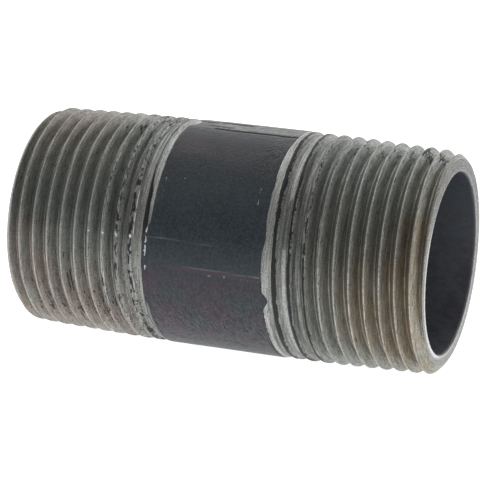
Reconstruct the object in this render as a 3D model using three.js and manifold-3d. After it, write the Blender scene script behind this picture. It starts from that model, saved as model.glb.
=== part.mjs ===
// A close-cut pipe nipple: a short length of 1 inch schedule 40 welded steel pipe, 2-1/2 inches long,
// with a taper pipe thread on each end. A band of blue-black mill lacquer is left between the threads.
// Millimetres, +Z up. The nipple lies along X, and its lowest line is at z = 0.

import * as THREE from 'three';
import * as BufferGeometryUtils from 'three/addons/utils/BufferGeometryUtils.js';
import Module from 'manifold-3d';

// Pipe
const PIPE_DIAMETER = 33.401;
const WALL = 3.378;
const LENGTH = 63.5;
const PIPE_RADIUS = PIPE_DIAMETER / 2;
const BORE_RADIUS = PIPE_RADIUS - WALL;
const HALF_LENGTH = LENGTH / 2;

// Taper pipe thread: 11.5 turns to the inch, 60 degree flanks, cone of 1 in 16 on the diameter
const PITCH = 25.4 / 11.5;
const TAPER = 1 / 32;
const FLANK_SLOPE = Math.tan(Math.PI / 6);
const PITCH_RADIUS_AT_END = 30.826 / 2;
const TRUNCATION = 0.06 * PITCH;
const THREAD_DEPTH = PITCH * Math.cos(Math.PI / 6) - 2 * TRUNCATION;
const CREST_RADIUS_AT_END = PITCH_RADIUS_AT_END + THREAD_DEPTH / 2;
const ROOT_RADIUS_AT_END = PITCH_RADIUS_AT_END - THREAD_DEPTH / 2;
const FULL_THREAD = 15.6;
const WHOLE_THREAD = 23;
const CLEAR_RADIUS = PIPE_RADIUS + PITCH;

// How far in from the end face the groove's centre line crosses the top of the pipe
const GROOVE_START_RIGHT = 1.08;
const GROOVE_START_LEFT = 1.4;

// Ends
const END_FACE_RADIUS = 15.2;
const REAMED_EDGE = 0.15;

// Lacquer films, each in a shallow seat with a little clearance to the steel
const FILM = 0.06;
const FILM_CLEARANCE = 0.02;
const SEAT_RADIUS = PIPE_RADIUS - FILM - FILM_CLEARANCE;
const SEAT_HALF_LENGTH = HALF_LENGTH - WHOLE_THREAD;
const SEAT_BEVEL = 0.1;
const FILM_END_CLEARANCE = 0.3;

// Round stretches have this many flats, and the flats lie at the true radius
const FLATS = 24;
const FLAT_ANGLE = 2 * Math.PI / FLATS;
const CORNER = 1 / Math.cos(FLAT_ANGLE / 2);

const wasm = await Module();
wasm.setup();

const steel = new THREE.MeshStandardMaterial({ color: 0x85837d, roughness: 0.45, metalness: 0.9, flatShading: true });
const lacquer = new THREE.MeshStandardMaterial({ color: 0x34373d, roughness: 0.5, metalness: 0.1 });
const boreLacquer = new THREE.MeshStandardMaterial({ color: 0x1c1f25, roughness: 0.6, metalness: 0.1 });

/** Turns an outline of [radius, x] points about the X axis. */
function turned(outline) {
  const points = outline.map(([radius, x]) => new THREE.Vector2(radius * CORNER, x));
  points.push(points[0].clone());
  const geometry = new THREE.LatheGeometry(points, FLATS, FLAT_ANGLE / 2);
  geometry.rotateZ(-Math.PI / 2);
  return geometry;
}

/** Merges a closed geometry's shared corners and makes a manifold solid of it. */
function toSolid(geometry) {
  geometry.deleteAttribute('normal');
  geometry.deleteAttribute('uv');
  const merged = BufferGeometryUtils.mergeVertices(geometry);
  const mesh = new wasm.Mesh({
    numProp: 3,
    vertProperties: merged.attributes.position.array,
    triVerts: Uint32Array.from(merged.index.array),
  });
  return new wasm.Manifold(mesh);
}

function toGeometry(solid) {
  const mesh = solid.getMesh();
  const geometry = new THREE.BufferGeometry();
  geometry.setAttribute('position', new THREE.BufferAttribute(mesh.vertProperties, 3));
  geometry.setIndex(new THREE.BufferAttribute(mesh.triVerts, 1));
  geometry.computeVertexNormals();
  return geometry;
}

/** Radius of the groove's bottom on the thread's cone, at a depth in from the end face. */
function grooveRadius(depth) {
  return ROOT_RADIUS_AT_END + depth * TAPER;
}

/** The bottom of the groove, from outside the end face at x = 0 inwards along -X, right-handed. */
class GroovePath extends THREE.Curve {
  constructor(grooveStart) {
    super();
    this.grooveStart = grooveStart;
    this.firstStep = -Math.ceil((grooveStart / PITCH + 0.5) * FLATS);
    this.lastStep = Math.ceil((WHOLE_THREAD / PITCH + 0.5) * FLATS);
  }

  get steps() {
    return this.lastStep - this.firstStep;
  }

  /** Angle from the top of the pipe, which always falls on a corner between two flats. */
  angle(t) {
    return -(this.firstStep + t * this.steps + 0.5) * FLAT_ANGLE;
  }

  radial(t) {
    return new THREE.Vector3(0, -Math.sin(this.angle(t)), Math.cos(this.angle(t)));
  }

  getPoint(t, target = new THREE.Vector3()) {
    const depth = this.grooveStart - PITCH * this.angle(t) / (2 * Math.PI);
    return target.copy(this.radial(t)).multiplyScalar(grooveRadius(depth) * CORNER).setX(-depth);
  }

  /** Even steps of angle, so that the groove's corners meet the corners of the turned blank. */
  getPointAt(t, target) {
    return this.getPoint(t, target);
  }

  /** The section stays square to the pipe's axis all the way round. */
  computeFrenetFrames(segments) {
    const frames = { tangents: [], normals: [], binormals: [] };
    for (let i = 0; i <= segments; i += 1) {
      const radial = this.radial(i / segments);
      const along = new THREE.Vector3(1, 0, 0);
      frames.normals.push(radial);
      frames.binormals.push(along);
      frames.tangents.push(new THREE.Vector3().crossVectors(radial, along));
    }
    return frames;
  }
}

/** The V section that the die cuts, with a small flat at its bottom, a little taller than the thread. */
function grooveSection() {
  const height = THREAD_DEPTH + TRUNCATION / 2;
  const bottom = TRUNCATION * FLANK_SLOPE;
  const top = bottom + height * FLANK_SLOPE;
  return new THREE.Shape([
    new THREE.Vector2(0, -bottom),
    new THREE.Vector2(height, -top),
    new THREE.Vector2(height, top),
    new THREE.Vector2(0, bottom),
  ]);
}

/** The V groove about the end at +X, at full depth all the way. */
function fullGroove(grooveStart) {
  const path = new GroovePath(grooveStart);
  const options = { steps: path.steps, bevelEnabled: false, extrudePath: path };
  const geometry = new THREE.ExtrudeGeometry(grooveSection(), options);
  geometry.translate(HALF_LENGTH, 0, 0);
  return geometry;
}

/** The metal that the die's bevelled mouth spares, which lifts the groove's bottom at the run-out. */
function runOutCore() {
  const full = HALF_LENGTH - FULL_THREAD;
  const whole = HALF_LENGTH - WHOLE_THREAD;
  return turned([
    [0, full],
    [0, 0],
    [CLEAR_RADIUS, 0],
    [CLEAR_RADIUS, whole],
    [PIPE_RADIUS, whole],
    [grooveRadius(FULL_THREAD) - TRUNCATION, full],
  ]);
}

/** What the die takes away from the end at +X, or from the other end when turned half round. */
function threadCut(grooveStart, turnAboutZ) {
  const groove = fullGroove(grooveStart).rotateZ(turnAboutZ);
  const core = runOutCore().rotateZ(turnAboutZ);
  return toSolid(groove).subtract(toSolid(core));
}

/** Half of the blank's outside, from the middle to the end at +X, as [radius, x] points. */
function outsideOutline() {
  const chamfer = (CREST_RADIUS_AT_END - END_FACE_RADIUS) / (1 - TAPER);
  const coneLength = (PIPE_RADIUS - CREST_RADIUS_AT_END) / TAPER;
  return [
    [SEAT_RADIUS, SEAT_HALF_LENGTH],
    [PIPE_RADIUS, SEAT_HALF_LENGTH + SEAT_BEVEL],
    [PIPE_RADIUS, HALF_LENGTH - coneLength],
    [END_FACE_RADIUS + chamfer, HALF_LENGTH - chamfer],
    [END_FACE_RADIUS, HALF_LENGTH],
    [BORE_RADIUS + REAMED_EDGE, HALF_LENGTH],
    [BORE_RADIUS, HALF_LENGTH - 2 * REAMED_EDGE],
  ];
}

function mirrored(outline) {
  return outline.map(([radius, x]) => [radius, -x]).reverse();
}

function steelPipe() {
  const blank = toSolid(turned([...mirrored(outsideOutline()), ...outsideOutline()]));
  const rightCut = threadCut(GROOVE_START_RIGHT, 0);
  const leftCut = threadCut(GROOVE_START_LEFT, Math.PI);
  return toGeometry(blank.subtract(rightCut).subtract(leftCut));
}

/** A thin sleeve about the X axis, centred on x = 0. */
function sleeve(innerRadius, outerRadius, halfLength) {
  return turned([
    [innerRadius, -halfLength],
    [outerRadius, -halfLength],
    [outerRadius, halfLength],
    [innerRadius, halfLength],
  ]);
}

function outerLacquer() {
  const inner = SEAT_RADIUS + FILM_CLEARANCE;
  return sleeve(inner, inner + FILM, SEAT_HALF_LENGTH - FILM_END_CLEARANCE);
}

function boreLacquerFilm() {
  const outer = BORE_RADIUS - FILM_CLEARANCE;
  return sleeve(outer - FILM, outer, HALF_LENGTH - 2 * REAMED_EDGE - FILM_END_CLEARANCE);
}

function part(name, geometry, material) {
  const mesh = new THREE.Mesh(geometry, material);
  mesh.name = name;
  return mesh;
}

const nipple = new THREE.Group();
nipple.add(part('steel_pipe', steelPipe(), steel));
nipple.add(part('outer_lacquer', outerLacquer(), lacquer));
nipple.add(part('bore_lacquer', boreLacquerFilm(), boreLacquer));
nipple.position.z = PIPE_RADIUS;

export default nipple;
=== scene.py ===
"""The looks of a 1 inch threaded steel pipe nipple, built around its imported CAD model.

The nipple lies along X on a pale floor. Lengths on the pipe are millimetres, measured from its centre,
and every mesh is written in metres. A place round the pipe is a share of a turn about +X: 0 is at +Y,
a quarter is the top, a half is the front and three quarters is the bottom.
"""
import math

import bpy
import numpy as np
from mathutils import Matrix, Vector


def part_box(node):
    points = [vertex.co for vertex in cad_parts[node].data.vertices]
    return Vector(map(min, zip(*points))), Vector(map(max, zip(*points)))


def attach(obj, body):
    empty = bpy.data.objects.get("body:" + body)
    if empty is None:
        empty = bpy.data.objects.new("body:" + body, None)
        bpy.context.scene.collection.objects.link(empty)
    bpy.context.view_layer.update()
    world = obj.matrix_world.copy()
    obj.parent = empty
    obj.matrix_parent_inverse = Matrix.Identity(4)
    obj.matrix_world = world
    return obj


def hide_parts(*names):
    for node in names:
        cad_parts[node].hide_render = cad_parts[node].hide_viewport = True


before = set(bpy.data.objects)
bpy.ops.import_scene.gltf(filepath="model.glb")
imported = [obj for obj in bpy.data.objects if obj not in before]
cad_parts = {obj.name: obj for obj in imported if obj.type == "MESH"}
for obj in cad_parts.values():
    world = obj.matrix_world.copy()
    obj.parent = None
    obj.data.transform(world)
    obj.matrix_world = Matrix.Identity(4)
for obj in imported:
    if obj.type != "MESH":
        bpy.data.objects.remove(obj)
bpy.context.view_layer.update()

# ---- sizes, from the frame ----
MM = 0.001
TAU = 2 * math.pi
BORE_FILM_CLEARANCE = 0.02
pipe_low, pipe_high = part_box("steel_pipe")
bore_low, bore_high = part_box("bore_lacquer")
LENGTH = (pipe_high.x - pipe_low.x) / MM
HALF = LENGTH / 2
PIPE_RADIUS = (pipe_high.z - pipe_low.z) / 2 / MM
BORE_RADIUS = (bore_high.z - bore_low.z) / 2 / MM + BORE_FILM_CLEARANCE
CENTRE = Vector(((pipe_low.x + pipe_high.x) / 2, 0, (pipe_low.z + pipe_high.z) / 2))

# ---- the taper thread ----
PITCH = 25.4 / 11.5
TAPER = 1 / 32
FLANK = math.sqrt(3)             # rise of a 60 degree thread's flank for each mm along X
PITCH_RADIUS_AT_END = 30.826 / 2
SHARP_DEPTH = PITCH * FLANK / 2
TRUNCATION = 0.06 * PITCH
FULL_THREAD = 15.6               # the groove is at full depth this far in from the end
WHOLE_THREAD = 23.0              # and it has risen out of the metal here
GROOVE_RIGHT = 1.08              # from the end face to the groove, at the top of the pipe
GROOVE_LEFT = 1.20
TOP_TURN = 0.25
END_FACE_RADIUS = 15.2
REAMED_EDGE = 0.15

# Each die sat a little askew, so its thread leans along X by this much, and most at this turn
RIGHT_LEAN = 0.29
RIGHT_LEAN_TURN = 0.676
LEFT_LEAN = 0.40
LEFT_LEAN_TURN = 0.0


# ---- smooth noise and shapes on the pipe's surface ----
def ripple(seed, x, turn, cell, around):
    """Smooth noise from -1 to 1: cell is its size along X, and around is how many cells go round."""
    rows = int(LENGTH / cell) + 4
    lattice = np.random.default_rng(seed).uniform(-1, 1, (rows, around))
    u = np.clip((x + HALF) / cell + 1, 0, rows - 2.001)
    v = turn * around
    row, column = np.floor(u).astype(int), np.floor(v).astype(int)
    s, t = u - row, v - column
    s, t = s * s * (3 - 2 * s), t * t * (3 - 2 * t)
    left, right = column % around, (column + 1) % around
    near = lattice[row, left] * (1 - t) + lattice[row, right] * t
    far = lattice[row + 1, left] * (1 - t) + lattice[row + 1, right] * t
    return near * (1 - s) + far * s


def round_ripple(seed, turn, around):
    """Smooth noise from -1 to 1 that changes only round the pipe."""
    return ripple(seed, 0 * turn, turn, cell=20, around=around)


def smooth_max(a, b, blend):
    return (a + b + np.sqrt((a - b) ** 2 + blend * blend)) / 2


def smooth_min(a, b, blend):
    return -smooth_max(-a, -b, blend)


def step(value, low, high):
    """0 below low, 1 above high, smooth between."""
    t = np.clip((value - low) / (high - low), 0, 1)
    return t * t * (3 - 2 * t)


def hump(value, middle, width):
    """1 at the middle, falling smoothly to 0 at width either side."""
    return 1 - step(np.abs(value - middle), 0, width)


def round_hump(turn, middle, width):
    """A hump on the turn that carries on past turn 1 to turn 0."""
    return hump((turn - middle + 0.5) % 1, 0.5, width)


def between(value, low, high, soft):
    """1 from low to high, falling smoothly to 0 over the distance soft outside them."""
    return step(value, low - soft, low) * (1 - step(value, high, high + soft))


def lowness(turn):
    """0 at the top of the pipe and 1 at the bottom."""
    return 0.5 - 0.5 * np.sin(TAU * turn)


# ---- places on the thread ----
def depth_from_end(x):
    return HALF - np.abs(x)


def run_out(x):
    """0 on the full thread, 1 where the die stopped."""
    return (depth_from_end(x) - FULL_THREAD) / (WHOLE_THREAD - FULL_THREAD)


def lean(side, turn):
    """How many pitches along X the thread is shifted at this turn."""
    if side > 0:
        return RIGHT_LEAN / PITCH * np.cos((turn - RIGHT_LEAN_TURN) * TAU)
    return LEFT_LEAN / PITCH * np.cos((turn - LEFT_LEAN_TURN) * TAU)


def right_pitches(x, turn):
    """How many pitches out a point is from the right groove's middle at the top of the pipe."""
    return (x - (HALF - GROOVE_RIGHT)) / PITCH - (turn - TOP_TURN) - lean(1, turn)


def left_pitches(x, turn):
    return (x - (GROOVE_LEFT - HALF)) / PITCH - (turn - TOP_TURN) - lean(-1, turn)


def thread_phase(x, turn):
    """How many pitches a point is from the nearest groove's middle, from -0.5 to 0.5."""
    phase = np.where(x > 0, right_pitches(x, turn), left_pitches(x, turn))
    return phase - np.round(phase)


def right_cut_number(x, turn):
    """Which cut of the right thread a point lies in, counted from the end face; it steps at turn 0."""
    return -np.round(right_pitches(x, turn))


# ---- the steel's outside ----
SEAM_TURN = 0.2396               # middle of the flat that was planed along the weld
SEAM_HALF_ANGLE = math.radians(6.4)
SEAM_EDGE_TURN = SEAM_TURN + SEAM_HALF_ANGLE / TAU
NICK_TURN = 0.459                # a line of nicks across the left thread
SCOOP = 0.17                     # how hollow the last shallow cuts are
TORN_DEPTH = 0.10
SCORE_DEPTH = 0.05
TEAR_DEPTH = 0.05
NICK_DEPTH = 0.07
CRACK_DEPTH = 0.09
SHAVED_DEPTH = 0.09
WORN_CREST = 0.03
DENT_DEPTH = 0.10


def seam_flat(radius, turn):
    """The weld's outer bead was planed off, which leaves a shallow flat along the pipe."""
    facing = np.cos((turn - SEAM_TURN) * TAU)
    flat = PIPE_RADIUS * math.cos(SEAM_HALF_ANGLE) / np.maximum(facing, 0.5)
    return np.where(facing > 0.5, smooth_min(radius, flat, 0.01), radius)


def seam_edge(x, turn):
    """The crack along the front edge of the planed flat, which starts as two, and a shorter far one."""
    wander = 0.0015 * ripple(64, x, turn * 0, 1.6, 4)
    crack = hump(turn, SEAM_EDGE_TURN + wander, 0.0062) * step(x, -5.2, -4)
    fork = hump(turn, SEAM_EDGE_TURN - 0.012 + 2 * wander, 0.0055) * between(x, -5, -2.5, 1.5)
    far_turn = 2 * SEAM_TURN - SEAM_EDGE_TURN
    far = hump(turn, far_turn + 2 * wander, 0.008) * between(x, -7, 0, 1.5)
    return np.maximum(crack, 0.8 * np.maximum(fork, far))


def blank_radius(x):
    """The pipe before threading: its own radius, the thread's cone near the end, and a chamfer."""
    depth = depth_from_end(x)
    cone = PITCH_RADIUS_AT_END + SHARP_DEPTH / 2 - TRUNCATION + depth * TAPER
    radius = smooth_min(np.full_like(x, PIPE_RADIUS), cone, 0.02)
    return smooth_min(radius, END_FACE_RADIUS + depth, 0.06)


def groove_radius(x, turn):
    """Radius of the thread's V, which gets shallower along the run-out."""
    sharp_root = PITCH_RADIUS_AT_END - SHARP_DEPTH / 2 + depth_from_end(x) * TAPER
    flanks = sharp_root + np.abs(thread_phase(x, turn)) * PITCH * FLANK
    groove = smooth_max(flanks, sharp_root + TRUNCATION, 0.05)
    right = 0.08 * step(run_out(x), 0.55, 0.8) + 0.18 * lowness(turn)
    return groove + np.where(x < 0, 0.28, right) * step(run_out(x), -0.3, 0.6)


def core_radius(x, turn):
    """Radius of the cone that rises under the thread where its cut runs out, hollow in each cut."""
    full_root = PITCH_RADIUS_AT_END - SHARP_DEPTH / 2 + FULL_THREAD * TAPER + TRUNCATION
    core = full_root + run_out(x) * (PIPE_RADIUS - SCOOP / 2 - full_root)
    off_middle = np.abs(thread_phase(x, turn))
    hollow = 0.5 * (2 * off_middle) ** 2 + 0.5 * np.minimum(2.4 * off_middle, 1)
    return core + SCOOP * hollow * step(run_out(x), 0.1, 0.7)


def ridge(x, turn):
    """1 on the narrow tops that stand between two cuts of the run-out, where the lacquer stays."""
    ragged = 0.10 * ripple(53, x, turn, 0.3, 150) + 0.07 * ripple(54, x, turn, 2.2, 31)
    above = groove_radius(x, turn) - PIPE_RADIUS + ragged
    starts = np.where(x < 0, 0.70, 0.38 - 0.34 * step(turn, 0.43, 0.50))
    whole = step(above, -0.05, 0.03) * step(run_out(x) - starts, -0.07, 0.07)
    crumbs = step(run_out(x), -0.15, 0.05) * step(ripple(56, x, turn, 0.2, 210), -0.35, 0.05)
    crumbs = crumbs * between(turn, 0.33, 0.56, 0.07) * (0.75 + 0.25 * ripple(57, x, turn, 2, 20))
    crumbs = crumbs * step(above, 0.02, 0.10)
    blots = step(ripple(58, x, turn, 0.4, 60) + 0.4 * ripple(59, x, turn, 0.2, 200), 0.3, 0.6)
    blots = blots * between(turn, 0.61, 0.70, 0.03) * between(-x, 9.3, 11.2, 0.3)
    return np.max([whole, crumbs, 0.8 * blots], axis=0)


def torn(x, turn):
    """How torn the metal is, 0 to 1: along the ridges, and low on the left thread."""
    beside_ridge = hump(groove_radius(x, turn), PIPE_RADIUS - 0.1, 0.3) * step(run_out(x), -0.4, 0.3)
    patchy = step(ripple(23, x, turn, 2.2, 9), -0.5, 0.5)
    one_flank = between(thread_phase(x, turn), -0.32, -0.10, 0.06)
    low_left = hump(turn, 0.61, 0.15) * step(-x, 7.5, 9.5) * step(depth_from_end(x), 2, 6)
    last_strip = 0.35 * hump(turn, 0.58, 0.13) * between(-x, 9.5, 12.5, 0.5)
    low_left = low_left * (0.12 + 0.16 * one_flank)
    return np.clip((0.3 + 0.6 * patchy) * beside_ridge + low_left + last_strip, 0, 1)


def dashed(x, turn):
    """Where short dark scores run along the thread, over the top of the pipe."""
    top_left = 0.5 * hump(turn, 0.25, 0.1) * between(-x, 8.5, 17, 1.5)
    third_crest = hump(turn, 0.235, 0.045) * between(x, 26.7, 28.5, 0.4)
    second_crest = 0.7 * hump(turn, 0.245, 0.03) * between(x, 29.2, 30.2, 0.3)
    other_crests = 0.5 * hump(turn, 0.25, 0.05) * between(x, 17, 26, 2)
    return np.max([top_left, third_crest, second_crest, other_crests], axis=0)


def tears(x, turn):
    """Thin dark tears that run along the lower left thread's flanks, and some at the back."""
    phase = thread_phase(x, turn) + 0.014 * ripple(38, x, turn, 0.8, 90)
    long_line = hump(phase, -0.15, 0.05) * step(ripple(36, x, turn, 1.1, 50), -0.2, 0.1)
    short_line = hump(phase, -0.27, 0.045) * step(ripple(37, x, turn, 1.1, 70), -0.1, 0.2)
    broken = step(ripple(39, x, turn, 0.4, 150), -0.7, 0.0)
    stretch = between(turn, 0.53, 0.64, 0.06) + 0.8 * round_hump(turn, 0.95, 0.1)
    return np.maximum(long_line, short_line) * broken * stretch * between(-x, 12, 28, 2)


def lip_highlights(x, turn):
    """Painted highlights in stretches: thin bright lines along both edges of the left ridges, and beside
    the right ones.
    """
    left = hump(groove_radius(x, turn), PIPE_RADIUS - 0.10, 0.15) * between(run_out(x), -0.2, 0.66, 0.06)
    right = hump(thread_phase(x, turn), 0.31, 0.035) * between(run_out(x), -0.2, 0.45, 0.1)
    stretches = step(ripple(24, x, turn, 1.5, 24), -0.6, 0.1)
    broken = 0.5 + 0.5 * step(ripple(27, x, turn, 0.3, 170), -0.6, 0.3)
    return np.where(x < 0, left, right) * stretches * broken


def nicks(x, turn):
    """Small dents in the crests, in one line across the left thread; their colour is a painted glint."""
    crest = step(np.abs(thread_phase(x, turn)), 0.36, 0.45)
    tall = 0.0045 + 0.003 * step(x, -19, -11)
    return crest * hump(turn, NICK_TURN, tall) * step(x, -18.9, -18.2) * step(-x, 8.4, 8.9)


def shaved(x, turn):
    """1 where the left thread's last ridge was cut right off, over the top of the pipe."""
    across = np.clip((thread_phase(x, turn) % 1 - 0.38) / 0.24, 0, 1)
    ragged = 0.012 * ripple(28, x, turn, 0.25, 120) - 0.05 * across
    return (x < 0) * step(run_out(x), 0.84, 0.87) * between(turn + ragged, 0.1, 0.35, 0.012)


def cut_marks(x, turn):
    """How far the die's own marks stand proud: fine rings, torn scales, scores, tears and nicks."""
    scored = 1 + 1.5 * step(run_out(x), -0.1, 0.3)
    rings = scored * (0.010 * ripple(31, x, turn, 0.2, 5) + 0.008 * ripple(32, x, turn, 0.14, 16))
    waves = 0.012 * ripple(34, x, turn, 1.2, 40)
    scales = ripple(21, x, turn, 0.3, 150) + 0.7 * ripple(22, x, turn, 0.2, 130)
    holes = TORN_DEPTH * torn(x, turn) * step(scales, 0.2, 0.9)
    scores = SCORE_DEPTH * dashed(x, turn) * step(ripple(25, x, turn, 0.22, 70), 0.1, 0.7)
    return rings + waves - holes - scores - TEAR_DEPTH * tears(x, turn) - NICK_DEPTH * nicks(x, turn)


def steel_radius(x, turn):
    """Radius of the steel's outside, with its thread, run-out, weld flat and torn metal."""
    threaded = 1 - step(depth_from_end(x), WHOLE_THREAD, WHOLE_THREAD + 1)
    worn = WORN_CREST * step(ripple(35, x, turn, 1.1, 60), 0.3, 0.9) * threaded
    worn = worn + SHAVED_DEPTH * shaved(x, turn) * (1 - step(run_out(x), 1, 1.06))
    blank = seam_flat(blank_radius(x), turn) - worn
    cut = smooth_max(groove_radius(x, turn), core_radius(x, turn), 0.04)
    dent = DENT_DEPTH * hump(turn, 0.215, 0.03) * between(x, -8.5, -5.0, 0.25)
    outside = smooth_min(cut, blank, 0.02) + threaded * cut_marks(x, turn)
    return outside - CRACK_DEPTH * seam_edge(x, turn) - dent


# ---- where the steel's colour changes: masks from 0 to 1 ----
POLISHED_CUT = 9                 # the cut of the right thread that is bright in streaks


def tan_oil(x, turn):
    """Dried oil on the right thread."""
    front = step(x, 12, 24) * hump(turn, 0.52, 0.2) + 1.2 * step(x, 20, 30) * hump(turn, 0.56, 0.2)
    above = 0.8 * step(x, 25, 30) * hump(turn, 0.42, 0.2)
    back = 0.9 * step(x, 16, 27) * round_hump(turn, 0.9, 0.2)
    return np.clip((front + above + back) * (0.7 + 0.4 * ripple(52, x, turn, 3, 9)), 0, 1)


def brown_stain(x, turn):
    """A browner film on the left thread."""
    top = step(-x, 14, 24) * hump(turn, 0.27, 0.13)
    low = 1.2 * step(-x, 9, 14) * hump(turn, 0.62, 0.13)
    low = low + 0.6 * step(-x, 13, 17) * between(turn, 0.52, 0.64, 0.03)
    front = 0.8 * step(-x, 22, 27) * between(turn, 0.46, 0.56, 0.015)
    back = step(-x, 12, 20) * round_hump(turn, 0.98, 0.2)
    return np.clip((top + low + front + back) * (0.8 + 0.4 * ripple(55, x, turn, 3, 9)), 0, 1)


def polished_cut(x, turn):
    """The upper and the lower bright streak in one cut of the right thread."""
    phase = thread_phase(x, turn)
    inside = (x > 0) * (right_cut_number(x, turn) == POLISHED_CUT) * between(turn, 0.1, 0.8, 0.08)
    upper = between(phase, 0.0, 0.36, 0.04) * (1 - step(turn, 0.37, 0.39))
    lower = between(phase, -0.03, 0.25, 0.04) * step(turn, 0.435, 0.455)
    return inside * upper, inside * lower


def steel_marks(x, turn):
    """The named masks that the steel's material reads on the outside of the pipe."""
    depth = depth_from_end(x)
    phase = thread_phase(x, turn)
    off_middle = np.abs(phase)
    cuts = step(depth, 0.4, 0.8)
    # Where each full cut's root lies: a painted highlight along it, and the place of the rust near the
    # end.
    root = (1 - step(off_middle, 0.03, 0.12)) * cuts * (1 - step(run_out(x), -0.2, 0.1))
    # Painted highlight along each crest, dimmed on the left thread over the top and at the lower front.
    crest = step(off_middle, 0.455, 0.48) * cuts * (1 - step(run_out(x), -0.25, 0.1))
    crest_highlight_dimming = 0.2 + 0.4 * hump(turn, 0.26, 0.12) + 0.2 * step(turn, 0.48, 0.56)
    rusty = (1 - step(depth, 3, 6)) * step(ripple(51, x, turn, 6, 7), -0.2, 0.6)
    upper_streak, lower_streak = polished_cut(x, turn)
    last_cut = 0.75 * step(run_out(x), 0.88, 0.92)
    # Painted light on the wall of each cut in the left run-out that faces the light.
    lit_wall_sheen = 0.65 * between(phase, -0.08, 0.3, 0.08) * step(run_out(x), 0.3, 0.6) * (x < 0)
    # Painted light from below on the lower front of the left thread.
    lower_left_sheen = 0.15 * (x < 0) * step(turn, 0.45, 0.465) * (1 - step(turn, 0.62, 0.75))
    return {
        "ridge": ridge(x, turn) * (1 - shaved(x, turn)),
        "torn": torn(x, turn),
        "dashed": dashed(x, turn),
        "tear": tears(x, turn),
        # Painted shade along the middle of each cut in the run-out.
        "crease_shade": (1 - step(off_middle, 0.02, 0.10)) * between(run_out(x), 0.05, 0.85, 0.15),
        "root": root,
        "crest": crest * (1 - (x < 0) * crest_highlight_dimming),
        "rust": root * rusty * np.where(x < 0, 0.5, 1),
        "tan": tan_oil(x, turn),
        "brown": brown_stain(x, turn),
        # Polished streaks and the last cut, with painted light on the left run-out's lit walls and the
        # left thread's lower front.
        "bright": np.clip(last_cut + lit_wall_sheen + upper_streak + lower_left_sheen, 0, 1),
        "lip_highlight": np.maximum(lip_highlights(x, turn), 0.55 * lower_streak),
        "scored": step(run_out(x), -0.1, 0.3),
        "nick_glint": nicks(x, turn),
    }


def face_marks(x, radius, turn):
    """The named masks that the steel's material reads on the sawn end face."""
    on_face = step(np.abs(x), HALF - 0.02, HALF - 0.01)
    from_edge = radius - BORE_RADIUS - REAMED_EDGE
    front = between(turn, 0.43, 0.64, 0.08)
    # Painted highlight along the bore's edge, strongest at the bottom and the front.
    burr_highlight = 1 - step(from_edge, 0.1 + 0.25 * front, 0.35 + 0.4 * front)
    return {
        "face": on_face,
        # Painted shade that darkens the end face towards the top.
        "upper": on_face * (1 - lowness(turn)),
        "reach": on_face * (radius - BORE_RADIUS),
        "burr_highlight": on_face * burr_highlight * (0.1 + 0.4 * lowness(turn) + 0.5 * front),
    }


# ---- a threaded half of the steel ----
STEPS_PER_PITCH = 24
COLUMNS = 316
THREAD_TURNS = 11
CROWDING = 0.5                   # 0 for even rows, towards 1 for rows that crowd where the V turns
SNAP_ROWS = 3                    # how many rows a corner of the outline draws along
MEETING_BEVEL = 0.1              # taken off the outside where the halves meet, under the lacquer
HIDDEN = HALF - THREAD_TURNS * PITCH      # half the plain stretch between the two threaded zones


def half_outline():
    """The half at +X from the middle outwards, as zones.

    A zone is how many pitches of rows it takes, and a function that places a fraction from 0 to 1 along
    it. The edge is the radius of the end face's outer edge, and the radius None is the steel's outside.
    """
    bore_edge = BORE_RADIUS + REAMED_EDGE
    ream_depth = 2 * REAMED_EDGE

    def middle_wall(f, edge):
        return 0 * f, BORE_RADIUS + f * (PIPE_RADIUS - MEETING_BEVEL - BORE_RADIUS)

    def plain(f, edge):
        return f * HIDDEN, None

    def thread(f, edge):
        return HIDDEN + f * (HALF - HIDDEN), None

    def end_face(f, edge):
        return HALF + 0 * f, edge + f * (bore_edge - edge)

    def ream(f, edge):
        return HALF - f * ream_depth, bore_edge - f * REAMED_EDGE

    def bore(f, edge):
        return (HALF - ream_depth) * (1 - f), BORE_RADIUS + 0 * f

    return [
        (0.3, middle_wall),
        (0.7, plain),
        (THREAD_TURNS, thread),
        (0.4, end_face),
        (0.2, ream),
        (0.4, bore),
    ]


def helix_rows(side, shares, starts):
    """How many pitches along the outline each vertex lies: rows follow the helix, columns go round.

    Rows crowd together at the crests and at the grooves' bottoms. At each corner of the outline the
    nearest row is moved onto it, and its neighbours follow part of the way.
    """
    total = round(sum(shares))
    rows = total * STEPS_PER_PITCH
    turn = np.arange(COLUMNS)[None, :] / COLUMNS
    pitches = np.arange(rows)[:, None] / STEPS_PER_PITCH
    crowded = pitches - CROWDING * np.sin(2 * TAU * pitches) / (2 * TAU)
    if side > 0:
        groove = starts[shares.index(THREAD_TURNS)] + (HALF - GROOVE_RIGHT - HIDDEN) / PITCH - TOP_TURN
    else:
        groove = GROOVE_LEFT / PITCH - TOP_TURN
    along = (groove + crowded + turn + lean(side, turn)) % total
    for corner in starts[:-1]:
        off = (along - corner + total / 2) % total - total / 2
        nearest = np.abs(off).argmin(0)
        shift = -off[nearest, np.arange(COLUMNS)]
        away = np.abs(np.arange(rows)[:, None] - nearest[None, :])
        away = np.minimum(away, rows - away)
        along = (along + shift[None, :] * np.maximum(0, 1 - away / SNAP_ROWS)) % total
    return along, np.broadcast_to(turn, along.shape)


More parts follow.
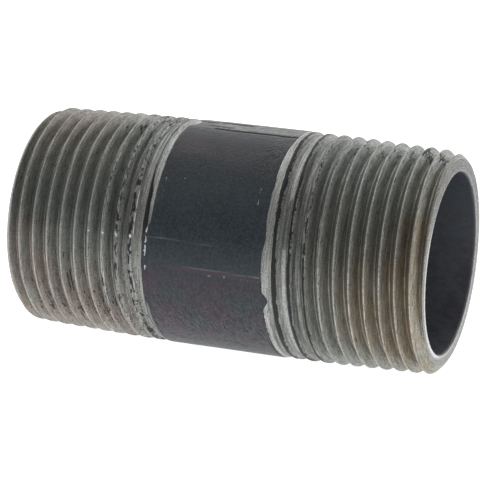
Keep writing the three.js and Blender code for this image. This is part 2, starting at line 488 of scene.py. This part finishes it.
def half_grid(side):
    """x, radius and turn of each vertex of a half.

    A row runs along the thread, so the thread's edges are as crisp as the rows are close. The rows also
    wrap over the end face and through the bore, and after one turn each row joins the one a pitch on.
    """
    zones = half_outline()
    if side < 0:
        zones = zones[::-1]
    shares = [share for share, _ in zones]
    starts = np.concatenate([[0], np.cumsum(shares)])
    along, turn = helix_rows(side, shares, starts)
    edge = steel_radius(np.full((1, COLUMNS), side * HALF), turn[:1])
    edge = np.broadcast_to(edge, along.shape)
    x = np.zeros_like(along)
    radius = np.zeros_like(along)
    for (share, place), start in zip(zones, starts):
        inside = (along >= start) & (along <= start + share)
        f = (along[inside] - start) / share
        if side < 0:
            f = 1 - f
        zone_x, zone_radius = place(f, edge[inside])
        if zone_radius is None:
            zone_radius = steel_radius(side * zone_x, turn[inside])
        x[inside], radius[inside] = side * zone_x, zone_radius
    return x, radius, turn


def ring_points(x, radius, turn):
    angle = turn * TAU
    points = np.stack([x, radius * np.cos(angle), radius * np.sin(angle)], -1)
    return points.reshape(-1, 3) * MM + np.array(CENTRE)


def wrapped_faces(rows, columns, shift):
    """Quads of a grid closed both ways, where the last column meets the first one shift rows on."""
    row, column = np.meshgrid(np.arange(rows), np.arange(columns), indexing="ij")

    def corner(r, c):
        wrap = c == columns
        r = np.where(wrap, r + shift, r) % rows
        return r * columns + np.where(wrap, 0, c)

    near, far = corner(row, column), corner(row, column + 1)
    far_next, near_next = corner(row + 1, column + 1), corner(row + 1, column)
    return np.stack([near, far, far_next, near_next], -1).reshape(-1, 4)


def add_object(name, points, faces):
    """A smooth-shaded object."""
    mesh = bpy.data.meshes.new(name)
    mesh.from_pydata(points, [], faces)
    mesh.polygons.foreach_set("use_smooth", [True] * len(mesh.polygons))
    mesh.update()
    made = bpy.data.objects.new(name, mesh)
    bpy.context.scene.collection.objects.link(made)
    return made


def closed_piece(name, points, faces):
    """A piece whose faces are turned outwards."""
    a, b, c, d = (points[faces[:, k]] for k in range(4))
    volume = (a * np.cross(b, c)).sum() + (a * np.cross(c, d)).sum()
    if volume < 0:
        faces = faces[:, ::-1]
    return add_object(name, points.tolist(), faces.tolist())


def write_marks(piece, marks):
    for name, values in marks.items():
        attribute = piece.data.attributes.new(name, "FLOAT", "POINT")
        attribute.data.foreach_set("value", values.astype(np.float32).ravel())


def steel_half(name, side):
    x, radius, turn = half_grid(side)
    rows, columns = x.shape
    piece = closed_piece(name, ring_points(x, radius, turn), wrapped_faces(rows, columns, STEPS_PER_PITCH))
    face = face_marks(x, radius, turn)
    outside = (radius > END_FACE_RADIUS - 1) * (1 - face["face"])
    marks = {key: value * outside for key, value in steel_marks(x, turn).items()}
    write_marks(piece, {**marks, **face})
    return piece


# ---- lacquer films: closed thin sleeves with ragged edges ----
FILM = 0.07
THINNEST = 0.004
BAND_OVERLAP = 0.02              # how far a film's hidden skin lies inside the steel
BORE_OVERLAP = 0.03
BORE_FILM_SHORT = 0.10           # how far the bore's film stops short of the end face
HIDDEN_ROWS = 6
BAND_ROWS, BAND_COLUMNS = 150, 640
BORE_ROWS, BORE_COLUMNS = 96, 320
SCRATCH_TURN = 0.4575            # a thin light scratch along the band
RUB_TURN = 0.4965                # a wider reddish one below it


def sleeve_mesh(name, x, seen, hidden, turn):
    """A sleeve from grids of its seen and hidden skins, joined at both rims."""
    sparse = np.linspace(len(x) - 1, 0, HIDDEN_ROWS).astype(int)
    loop_x = np.concatenate([x, x[sparse]])
    loop_radius = np.concatenate([seen, hidden[sparse]])
    loop_turn = np.concatenate([turn, turn[sparse]])
    faces = wrapped_faces(len(loop_x), x.shape[1], 0)
    piece = closed_piece(name, ring_points(loop_x, loop_radius, loop_turn), faces)
    return piece, loop_x, loop_turn


def film_edges(turn):
    """How far the lacquer reaches to the left and to the right of the middle."""
    plain = HALF - WHOLE_THREAD
    left = plain + step(turn, 0.43, 0.46) * (1 - step(turn, 0.85, 0.95)) - 1.3 * hump(turn, 0.235, 0.03)
    left = left + 0.06 * round_ripple(11, turn, 13) + 0.04 * round_ripple(12, turn, 110)
    right = plain - 0.35 + 0.3 * hump(turn, 0.437, 0.03) + 0.7 * hump(turn, 0.528, 0.016)
    right = right + 0.3 * step(turn, 0.5, 0.52)
    right = right + 0.12 * round_ripple(13, turn, 19) + 0.05 * round_ripple(14, turn, 120)
    return left, right


def edge_chips(x, turn):
    """Chips along the band's left edge, and one round spot where the lacquer is gone."""
    upper = between(turn, 0.43, 0.50, 0.02) * hump(x, -9.25 + 0.5 * (turn - 0.5), 0.42)
    upper = upper * step(round_ripple(69, turn, 90), -0.6, 0.2)
    lower = between(turn, 0.50, 0.57, 0.02) * hump(x, -9.1 + 1.5 * (turn - 0.5), 0.3)
    lower = lower * step(round_ripple(68, turn, 70), 0.1, 0.6)
    spot = hump(np.hypot((x + 4.95) / 0.16, (turn - 0.369) / 0.0016), 0, 1)
    return np.clip(upper + lower + 2 * spot, 0, 1)


def sparkles(x, turn):
    """Tiny bright points: a short line near each edge, and some along the rub."""
    height = between(turn, 0.368, 0.398, 0.004)
    left = height * hump(x, -7.75 + 2 * (turn - 0.38), 0.12)
    right = height * hump(x, 6.75 + 2 * (turn - 0.38), 0.12)
    specks = step(ripple(63, x, turn, 0.25, 400), 0.6, 0.8) * hump(turn, RUB_TURN + 0.004, 0.012)
    return np.clip(left + right + specks * step(x, -6, -4), 0, 1)


def purple_bloom(x, turn):
    """Where the blue-black lacquer is purplish: below the rub, near the weld and at the back."""
    front = between(turn, 0.515, 0.62, 0.03) * (1 - 0.3 * step(turn, 0.6, 0.66))
    top = hump(turn, 0.31, 0.07) * (0.35 + 0.4 * (1 - step(x, -5, 3)))
    back = round_hump(turn, 0.93, 0.14) * (0.5 + 0.5 * step(x, -6, 2))
    return np.clip(front + top + back, 0, 1)


def film_marks(x, turn):
    """The named masks that the band's material reads."""
    off_seam = np.abs(turn - SEAM_TURN) * TAU
    planed = 1 - step(off_seam, SEAM_HALF_ANGLE * 0.9, SEAM_HALF_ANGLE)
    scratch = hump(turn, SCRATCH_TURN + 0.0004 * x / PITCH, 0.0009) * (1 - step(x, -3, 3))
    rub_middle = RUB_TURN + 0.0003 * x / PITCH
    rub_line = hump(turn, rub_middle - 0.004, 0.0011) * step(x, -5, 3)
    edge_scrape = hump(turn, 0.30, 0.07) * step(x, 3.5, 7)
    return {
        "scratch": 0.3 * scratch + 0.35 * rub_line,
        "rub": hump(turn, rub_middle, 0.008) * step(x, -7, -4.5),
        "planed": planed * step(x, -6, -4),
        "crack": seam_edge(x, turn),
        "chips": edge_chips(x, turn),
        "bared": between(turn, 0.57, 0.68, 0.02) * hump(x, -9.35 + 2 * (turn - 0.57), 0.26),
        "sparkle": sparkles(x, turn),
        "purple": purple_bloom(x, turn),
        "deep": hump(turn, 0.31, 0.07),
        "brushed": hump(turn, 0.268, 0.032),
        "scuffed": np.clip(0.15 + 0.85 * between(turn, 0.62, 0.85, 0.13) + edge_scrape, 0, 1),
    }


def outer_film():
    turn = np.broadcast_to(np.arange(BAND_COLUMNS)[None, :] / BAND_COLUMNS, (BAND_ROWS, BAND_COLUMNS))
    left, right = film_edges(turn[0])
    width = (left + right)[None, :]
    f = np.linspace(0, 1, BAND_ROWS)[:, None]
    f = f - 0.6 * np.sin(TAU * f) / TAU
    x = -left[None, :] + f * width
    thick = FILM * step(np.minimum(f, 1 - f) * width, -0.02, 0.12)
    marks = film_marks(x, turn)
    relief = 0.004 * ripple(65, x, turn, 1.3, 70) + 0.003 * ripple(66, x, turn, 0.45, 230)
    relief = relief - 0.025 * marks["scratch"] - 0.02 * marks["rub"] - 0.04 * marks["chips"]
    relief = relief + 0.010 * marks["scuffed"] * ripple(67, x, turn, 0.5, 200)
    base = steel_radius(x, turn)
    outer = base + np.maximum(thick + relief * step(thick, 0.3 * FILM, 0.9 * FILM), THINNEST)
    piece, loop_x, loop_turn = sleeve_mesh("outer_lacquer_film", x, outer, base - BAND_OVERLAP, turn)
    write_marks(piece, film_marks(loop_x, loop_turn))
    return piece


def bore_film():
    """Lines the bore and the reamed edge, almost to the end face."""
    turn = np.broadcast_to(np.arange(BORE_COLUMNS)[None, :] / BORE_COLUMNS, (BORE_ROWS, BORE_COLUMNS))
    reach = HALF - BORE_FILM_SHORT + 0.05 * round_ripple(71, turn[0], 70)
    f = np.linspace(-1, 1, BORE_ROWS)[:, None]
    x = np.sin(f * TAU / 4) * reach[None, :]
    wall = BORE_RADIUS + REAMED_EDGE * np.clip(1 - depth_from_end(x) / (2 * REAMED_EDGE), 0, 1)
    thick = FILM * step(reach[None, :] - np.abs(x), -0.02, 0.1) + 0.012 * ripple(72, x, turn, 4, 20)
    piece, _, loop_turn = sleeve_mesh("bore_lacquer_film", x, wall - thick, wall + BORE_OVERLAP, turn)
    # Painted light: the bore's film is lighter towards the bottom.
    write_marks(piece, {"low": lowness(loop_turn)})
    return piece


# ---- materials ----
class Recipe:
    """A material, with short calls that add its nodes and join them."""

    def __init__(self, name):
        self.material = bpy.data.materials.new(name)
        self.material.use_nodes = True
        self.tree = self.material.node_tree
        self.shader = self.tree.nodes["Principled BSDF"]

    def put(self, socket, value):
        if isinstance(value, bpy.types.NodeSocket):
            self.tree.links.new(value, socket)
        elif hasattr(socket.default_value, "__len__") and len(socket.default_value) == 4:
            socket.default_value = (*value, 1)
        else:
            socket.default_value = value

    def set(self, **inputs):
        for name, value in inputs.items():
            self.put(self.shader.inputs[name.replace("_", " ").title().replace("Ior", "IOR")], value)

    def mark(self, name):
        node = self.tree.nodes.new("ShaderNodeAttribute")
        node.attribute_name = name
        return node.outputs["Fac"]

    def noise(self, cells, detail=3.0, rough=0.55, slant=0.0):
        """Noise from 0 to 1, with cells of these sizes in mm along X, Y and Z, turned by slant about Z."""
        place = self.tree.nodes.new("ShaderNodeTexCoord")
        scale = self.tree.nodes.new("ShaderNodeMapping")
        scale.vector_type = "TEXTURE"
        scale.inputs["Scale"].default_value = [size * MM for size in cells]
        scale.inputs["Rotation"].default_value = (0, 0, slant)
        self.tree.links.new(place.outputs["Object"], scale.inputs["Vector"])
        node = self.tree.nodes.new("ShaderNodeTexNoise")
        node.inputs["Scale"].default_value = 1.0
        node.inputs["Detail"].default_value = detail
        node.inputs["Roughness"].default_value = rough
        self.tree.links.new(scale.outputs["Vector"], node.inputs["Vector"])
        return node.outputs["Fac"]

    def rings(self, name, cell):
        """Noise from 0 to 1 that changes with a mark in mm, with bands of about this width."""
        node = self.tree.nodes.new("ShaderNodeTexNoise")
        node.noise_dimensions = "1D"
        node.inputs["Scale"].default_value = 1 / cell
        node.inputs["Detail"].default_value = 2
        self.tree.links.new(self.mark(name), node.inputs["W"])
        return node.outputs["Fac"]

    def spread(self, value, low, high, to_low=0.0, to_high=1.0):
        """Maps low..high to to_low..to_high, clamped."""
        node = self.tree.nodes.new("ShaderNodeMapRange")
        ends = {"From Min": low, "From Max": high, "To Min": to_low, "To Max": to_high}
        for name, number in ends.items():
            node.inputs[name].default_value = number
        self.put(node.inputs["Value"], value)
        return node.outputs["Result"]

    def math(self, operation, *values):
        node = self.tree.nodes.new("ShaderNodeMath")
        node.operation = operation
        for socket, value in zip(node.inputs, values):
            self.put(socket, value)
        return node.outputs["Value"]

    def times(self, a, b):
        return self.math("MULTIPLY", a, b)

    def either(self, a, b):
        return self.math("MAXIMUM", a, b)

    def broken(self, name, share, noise, low, high, most=1.0):
        """A mark broken up by noise: 0 where share of the mark and the noise add up to low."""
        return self.spread(self.math("MULTIPLY_ADD", self.mark(name), share, noise), low, high, 0.0, most)

    def mix(self, amount, a, b):
        """Colour a where amount is 0 and b where it is 1."""
        node = self.tree.nodes.new("ShaderNodeMix")
        node.data_type = "RGBA"
        sockets = {socket.identifier: socket for socket in [*node.inputs, *node.outputs]}
        self.put(sockets["Factor_Float"], amount)
        self.put(sockets["A_Color"], a)
        self.put(sockets["B_Color"], b)
        return sockets["Result_Color"]

    def lay(self, colour, name, tint, amount=1.0):
        """Lays a tint over the colour where a mark is, and no more strongly than amount."""
        return self.mix(self.times(self.mark(name), amount), colour, tint)

    def bump(self, height, distance, below=None):
        """A bump of this many mm, over the one below it."""
        node = self.tree.nodes.new("ShaderNodeBump")
        node.inputs["Distance"].default_value = distance * MM
        self.put(node.inputs["Height"], height)
        if below is not None:
            self.tree.links.new(below, node.inputs["Normal"])
        return node.outputs["Normal"]


# Colours of the steel; where there are two, its fine marks vary between them
CLEAN_STEEL = (0.195, 0.21, 0.193), (0.43, 0.44, 0.42)
BROWN_STEEL = (0.23, 0.19, 0.16), (0.45, 0.39, 0.35)
TAN_STEEL = (0.22, 0.18, 0.125), (0.46, 0.395, 0.305)
# Lit and shaded copies of the end face's colour: painted light below, painted shade above
LIT_LOWER_FACE = (0.42, 0.42, 0.41), (0.22, 0.22, 0.215)
SHADED_UPPER_FACE = (0.28, 0.28, 0.27), (0.05, 0.05, 0.048)
# Polished steel, and painted light where light falls on the threads
POLISH_AND_SHEEN = (0.60, 0.60, 0.59)
# Painted highlight on the crests
CREST_HIGHLIGHT = (0.70, 0.70, 0.68)
# Painted highlight along the roots
ROOT_HIGHLIGHT = (0.45, 0.44, 0.41)
RUST = (0.27, 0.15, 0.07)
SCORE = (0.09, 0.09, 0.088)
# Painted shade in the creases
CREASE_SHADE = (0.05, 0.05, 0.048)
DARK_GRAIN = (0.06, 0.058, 0.052)
LIGHT_GRAIN = (0.66, 0.66, 0.64)
PIT = (0.02, 0.02, 0.018)
RIDGE = (0.034, 0.034, 0.036)
# Painted highlight along the ridges' edges
LIP_HIGHLIGHT = (0.82, 0.82, 0.80)
# Painted glint in the nicks
NICK_GLINT = (0.9, 0.9, 0.9)
# Painted highlight on the bore's edge
BURR_HIGHLIGHT = (0.85, 0.85, 0.84)


def cut_steel(r, tone):
    """The cut steel's own colour, browned by oil and stain in places."""
    soiled = r.spread(r.noise((6, 4, 4), 3, 0.6), 0.35, 0.62, 0.45, 1.0)
    colour = r.mix(tone, *CLEAN_STEEL)
    colour = r.lay(colour, "brown", r.mix(tone, *BROWN_STEEL), soiled)
    return r.lay(colour, "tan", r.mix(tone, *TAN_STEEL), soiled)


def sawn_face(r, grain):
    """The end face's colour: rings from the saw, with painted shade towards the top and painted light
    towards the bottom.
    """
    sawn = r.math("MULTIPLY_ADD", r.rings("reach", 0.12), 0.55, r.times(grain, 0.45))
    lower = r.mix(r.spread(sawn, 0.42, 0.58), *LIT_LOWER_FACE)
    upper = r.mix(r.spread(sawn, 0.43, 0.57), *SHADED_UPPER_FACE)
    return r.lay(lower, "upper", upper)


def thread_tints(r, colour, turned, grain):
    """Polish and painted sheen, scored cuts, painted shade in creases, painted highlights on crests and
    roots, and a little rust near the end.
    """
    lines = r.noise((0.2, 14, 14), 2, 0.6)
    colour = r.lay(colour, "bright", POLISH_AND_SHEEN, r.spread(turned, 0.35, 0.6, 0.25, 1.0))
    colour = r.lay(colour, "scored", SCORE, r.spread(lines, 0.48, 0.60, 0.0, 0.5))
    # Painted shade in the creases, and painted highlights on the crests and the roots.
    colour = r.lay(colour, "crease_shade", CREASE_SHADE, 0.25)
    colour = r.lay(colour, "crest", CREST_HIGHLIGHT, r.spread(grain, 0.4, 0.65, 0.5, 0.05))
    colour = r.lay(colour, "root", ROOT_HIGHLIGHT, 0.3)
    return r.lay(colour, "rust", RUST, 0.55)


def steel_pits(r, grain):
    """Where the steel is pitted, scarred or torn open, but not on its end faces."""
    pits = r.noise((0.24, 0.38, 0.38), 2, 0.6)
    scores = r.noise((0.14, 2, 2), 2, 0.6, 0.06)
    pitted = r.broken("torn", 0.22, pits, 0.67, 0.74)
    pitted = r.either(pitted, r.broken("dashed", 0.25, scores, 0.68, 0.74))
    pitted = r.either(pitted, r.broken("tear", 1.0, r.times(grain, 0.8), 0.7, 1.1, 0.9))
    return r.times(pitted, r.spread(r.mark("face"), 0.0, 1.0, 1.0, 0.0))


def steel_material():
    r = Recipe("die_cut_steel")
    grain = r.noise((0.21, 0.21, 0.21), 2, 0.65)
    streaks = r.noise((0.19, 8, 8), 3, 0.7)
    fine = r.noise((0.14, 1.8, 1.8), 2, 0.6)
    turned = r.math("MULTIPLY_ADD", fine, 0.5, r.times(streaks, 0.5))
    tone = r.spread(turned, 0.35, 0.65)
    colour = r.lay(cut_steel(r, tone), "face", sawn_face(r, grain))
    colour = thread_tints(r, colour, turned, grain)
    colour = r.mix(r.spread(grain, 0.52, 0.70, 0.0, 0.40), colour, DARK_GRAIN)
    colour = r.mix(r.spread(grain, 0.48, 0.30, 0.0, 0.22), colour, LIGHT_GRAIN)
    pitted = steel_pits(r, grain)
    ridges = r.broken("ridge", 1.0, r.times(grain, 0.6), 0.62, 0.85)
    lip_highlight = r.broken("lip_highlight", 1.0, r.times(grain, 0.6), 0.75, 1.0)
    nick_glint = r.broken("nick_glint", 0.7, r.times(grain, 1.6), 1.25, 1.45)
    for amount, tint in ((pitted, PIT), (ridges, RIDGE), (lip_highlight, LIP_HIGHLIGHT), (nick_glint, NICK_GLINT)):
        colour = r.mix(amount, colour, tint)
    colour = r.lay(colour, "burr_highlight", BURR_HIGHLIGHT, r.spread(grain, 0.35, 0.65, 1.0, 0.5))
    dark_metal = r.spread(r.either(ridges, pitted), 0.0, 1.0, 1.0, 0.8)
    metal = r.times(dark_metal, r.spread(r.either(lip_highlight, nick_glint), 0.0, 1.0, 1.0, 0.3))
    rough = r.math("ADD", r.spread(grain, 0.3, 0.7, 0.42, 0.58), r.spread(tone, 0.0, 1.0, 0.06, -0.06))
    normal = r.bump(grain, 0.08, r.bump(turned, 0.10))
    r.set(base_color=colour, metallic=metal, roughness=rough, normal=normal)
    return r.material


# Colours of the mill lacquer on the band
BLUE_BLACK = (0.022, 0.036, 0.043), (0.030, 0.044, 0.053)
DEEP_BLACK = (0.003, 0.006, 0.008)
PURPLE = (0.050, 0.032, 0.052)
LIGHT_MOTTLE = (0.078, 0.082, 0.090)
DARK_MOTTLE = (0.006, 0.008, 0.011)
BRUSHED = (0.12, 0.12, 0.125)
SCUFF = (0.10, 0.102, 0.106)
TICK = (0.003, 0.004, 0.005)
PLANED_STEEL = (0.27, 0.27, 0.26), (0.06, 0.06, 0.06)
RUB = (0.072, 0.048, 0.064)
SCRATCH = (0.5, 0.5, 0.5)
BARED = (0.29, 0.29, 0.28)
CHIP_AND_SPARKLE = (0.62, 0.63, 0.64)
CRACK = (0.004, 0.004, 0.004)


def lacquer_colour(r, mottle):
    """The sound lacquer: clouded blue-black with purple patches, lighter and darker in fine mottle."""
    clouds = r.noise((5, 4, 4), 4, 0.6)
    patches = r.noise((4.5, 3, 3), 3, 0.55)
    colour = r.mix(r.spread(clouds, 0.35, 0.65), *BLUE_BLACK)
    colour = r.lay(colour, "deep", DEEP_BLACK, 0.8)
    colour = r.lay(colour, "purple", PURPLE, r.spread(patches, 0.38, 0.56))
    colour = r.mix(r.spread(mottle, 0.50, 0.66, 0.0, 0.25), colour, LIGHT_MOTTLE)
    return r.mix(r.spread(mottle, 0.50, 0.36, 0.0, 0.3), colour, DARK_MOTTLE)


def lacquer_damage(r, colour, mottle, drawn, ticks):
    """Brushing, scuffs, the planed flat, scratches, chips and the crack, over the sound lacquer."""
    chips = r.noise((0.35, 0.5, 0.5), 2, 0.5)
    steely = r.mix(r.spread(ticks, 0.46, 0.58), *PLANED_STEEL)
    colour = r.lay(colour, "brushed", BRUSHED, r.spread(drawn, 0.47, 0.58, 0.0, 0.7))
    colour = r.lay(colour, "scuffed", SCUFF, r.spread(mottle, 0.47, 0.58, 0.0, 0.8))
    colour = r.lay(colour, "scuffed", TICK, r.spread(ticks, 0.53, 0.60))
    colour = r.lay(colour, "planed", steely, r.spread(mottle, 0.30, 0.50))
    colour = r.lay(colour, "rub", RUB, r.spread(drawn, 0.4, 0.6, 0.3, 1.0))
    colour = r.lay(colour, "scratch", SCRATCH, r.spread(drawn, 0.35, 0.55))
    colour = r.lay(colour, "bared", BARED, 0.95)
    chipped = r.broken("chips", 0.48, chips, 0.86, 0.94)
    sparkling = r.broken("sparkle", 0.42, mottle, 0.88, 0.94)
    # The chips bare pale steel, and the sparkles are painted glints in the same pale colour.
    colour = r.mix(r.either(chipped, sparkling), colour, CHIP_AND_SPARKLE)
    return r.lay(colour, "crack", CRACK)


def band_material():
    r = Recipe("mill_lacquer")
    mottle = r.noise((0.35, 0.35, 0.35), 3, 0.7)
    drawn = r.noise((2.2, 0.4, 0.4), 4, 0.7, 0.05)
    ticks = r.noise((0.25, 1.3, 1.3), 3, 0.65, -0.7)
    colour = lacquer_damage(r, lacquer_colour(r, mottle), mottle, drawn, ticks)
    grainy = r.spread(mottle, 0.35, 0.65, -0.03, 0.08)
    rough = r.math("ADD", r.spread(drawn, 0.35, 0.65, 0.34, 0.40), grainy)
    rough = r.either(rough, r.times(r.mark("crack"), 0.95))
    normal = r.bump(r.times(r.mark("scuffed"), ticks), 0.18, r.bump(mottle, 0.07))
    r.set(base_color=colour, roughness=rough, specular_ior_level=0.33, normal=normal)
    return r.material


# The film in the bore, with painted light that makes it lighter towards the bottom
UPPER_BORE = (0.023, 0.035, 0.042), (0.032, 0.045, 0.052)
LIT_LOWER_BORE = (0.140, 0.150, 0.172), (0.166, 0.174, 0.197)
BORE_PURPLE = (0.082, 0.060, 0.080)


def bore_material():
    r = Recipe("bore_lacquer")
    mottle = r.noise((0.7, 0.45, 0.45), 3, 0.7)
    drawn = r.noise((4, 0.4, 0.4), 4, 0.65)
    patches = r.noise((2.3, 1.6, 1.6), 3, 0.65)
    tone = r.spread(mottle, 0.35, 0.65)
    colour = r.lay(r.mix(tone, *UPPER_BORE), "low", r.mix(tone, *LIT_LOWER_BORE))
    colour = r.mix(r.spread(patches, 0.45, 0.60, 0.0, 0.45), colour, BORE_PURPLE)
    rough = r.spread(r.math("ADD", drawn, mottle), 0.7, 1.3, 0.42, 0.58)
    r.set(base_color=colour, roughness=rough, specular_ior_level=0.3, normal=r.bump(mottle, 0.06))
    return r.material


# ---- the pieces ----
def add_piece(piece, material, node):
    piece.data.materials.append(material)
    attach(piece, "root")
    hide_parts(node)


steel = steel_material()
add_piece(steel_half("left_threaded_half", -1), steel, "steel_pipe")
add_piece(steel_half("right_threaded_half", 1), steel, "steel_pipe")
add_piece(outer_film(), band_material(), "outer_lacquer")
add_piece(bore_film(), bore_material(), "bore_lacquer")


# ---- floor, light and camera, in metres ----
STAGE_INNER = 0.3
STAGE_RADIUS = 0.9
STAGE_CORNER = 0.25
STAGE_HEIGHT = 0.55
STAGE_SPOKES = 72
STAGE_BENDS = 8
FRONT_STRETCH = 4                # the open front of the floor reaches this many times further
STAGE_GLOW = 1.0
WORLD_GLOW = 0.18
CAMERA_AZIMUTH = math.radians(20.31)
CAMERA_ELEVATION = math.radians(20.12)
CAMERA_DISTANCE = 0.3745
CAMERA_LENS = 189.0
CAMERA_NEAREST = 0.01
CAMERA_AIM = Vector((-0.0008, 0, -0.0005))


def stage_profile():
    """Reach and height of the floor and the wall that it curves up into."""
    flat_end = STAGE_RADIUS - STAGE_CORNER
    profile = [(0.0, 0.0), (STAGE_INNER, 0.0), (flat_end, 0.0)]
    for k in range(1, STAGE_BENDS + 1):
        bend = k / STAGE_BENDS * TAU / 4
        profile.append((flat_end + STAGE_CORNER * math.sin(bend), STAGE_CORNER * (1 - math.cos(bend))))
    profile.append((STAGE_RADIUS, STAGE_HEIGHT))
    return profile


def pale_stage():
    """A pale floor with a wall round the back and both sides, flat in front, lit from within."""
    profile = stage_profile()
    points, faces = [], []
    for k in range(STAGE_SPOKES + 1):
        around = TAU * k / STAGE_SPOKES
        front = step(-math.sin(around), 0.2, 0.5)
        for reach, height in profile:
            out = reach * (1 + front * (FRONT_STRETCH - 1))
            points.append((out * math.cos(around), out * math.sin(around), height * (1 - front)))
    count = len(profile)
    for k in range(STAGE_SPOKES):
        for j in range(count - 1):
            corner = k * count + j
            faces.append((corner, corner + 1, corner + count + 1, corner + count))
    floor = add_object("pale_stage", points, faces)
    r = Recipe("pale_stage")
    r.set(base_color=(0.5, 0.5, 0.5), roughness=0.9)
    r.set(emission_color=(1, 1, 1), emission_strength=STAGE_GLOW)
    floor.data.materials.append(r.material)


def softbox(name, place, size, watts):
    """A square lamp that faces the origin."""
    light = bpy.data.lights.new(name, "AREA")
    light.shape = "RECTANGLE"
    light.size, light.size_y = size, size
    light.energy = watts
    lamp = bpy.data.objects.new(name, light)
    lamp.location = place
    lamp.rotation_euler = (-Vector(place)).to_track_quat("-Z", "Y").to_euler()
    bpy.context.scene.collection.objects.link(lamp)


def soft_world():
    world = bpy.data.worlds.new("studio")
    world.use_nodes = True
    background = world.node_tree.nodes["Background"]
    background.inputs["Color"].default_value = (1, 1, 1, 1)
    background.inputs["Strength"].default_value = WORLD_GLOW
    bpy.context.scene.world = world


def add_camera():
    level = math.cos(CAMERA_ELEVATION)
    back = Vector((
        math.sin(CAMERA_AZIMUTH) * level,
        -math.cos(CAMERA_AZIMUTH) * level,
        math.sin(CAMERA_ELEVATION),
    ))
    data = bpy.data.cameras.new("camera")
    data.lens = CAMERA_LENS
    data.clip_start = CAMERA_NEAREST
    camera = bpy.data.objects.new("camera", data)
    camera.location = CENTRE + CAMERA_AIM + back * CAMERA_DISTANCE
    camera.rotation_euler = back.to_track_quat("Z", "Y").to_euler()
    bpy.context.scene.collection.objects.link(camera)
    bpy.context.scene.camera = camera


pale_stage()
soft_world()
softbox("top_softbox", (-0.15, 0.3, 0.7), 0.5, 1.8)
softbox("left_softbox", (-0.4, -0.25, 0.6), 0.3, 0.6)
add_camera()
bpy.context.scene.view_settings.view_transform = "Standard"
